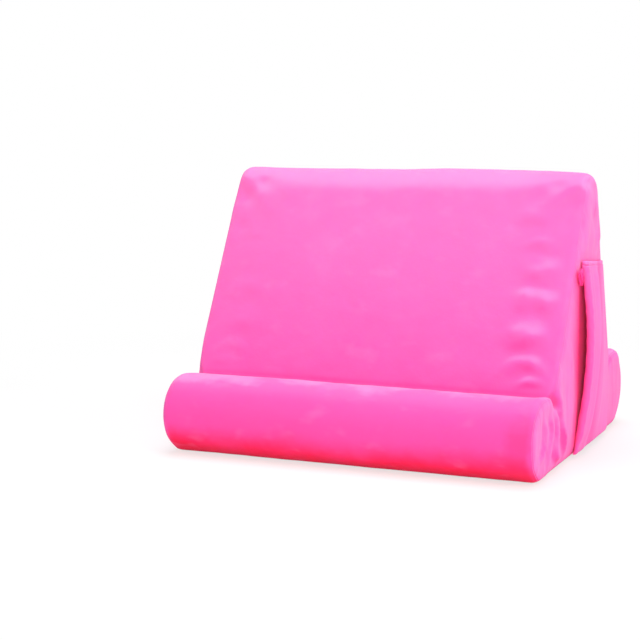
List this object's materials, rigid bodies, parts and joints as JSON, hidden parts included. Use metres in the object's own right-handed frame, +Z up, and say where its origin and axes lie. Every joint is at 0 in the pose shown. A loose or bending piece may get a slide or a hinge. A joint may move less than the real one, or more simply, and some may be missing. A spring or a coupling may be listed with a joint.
{
  "type": "tablet cushion stand",
  "caption": "Padded wedge cushion that props a tablet on a sloping backrest, with a roll along each foot and a gathered side pocket.",
  "frame": {"origin": "on the flat underside, at mid-width and mid-depth", "axes": "+Z up; the backrest faces -Y; +X along the width, towards the end that carries the pocket"},
  "size_m": [0.3207, 0.2794, 0.219],
  "materials": {
    "plush": "short hot pink pile, matt with a soft sheen",
    "elastic": "braided off-white elastic cord",
    "filling": "pale foam and fibre filling"
  },
  "bodies": {
    "root": {"front_panel": "plush", "front_ledge_panel": "plush", "back_panel": "plush", "rear_ledge_panel": "plush", "base_panel": "plush", "left_end_panel": "plush", "right_end_panel": "plush", "pocket_panel": "plush", "pocket_mouth_band": "plush", "pocket_top_hem": "plush", "pocket_tuck": "plush", "mouth_elastic": "elastic", "core_wedge": "filling", "front_roll_core": "filling", "rear_roll_core": "filling"}
  },
  "joints": []
}
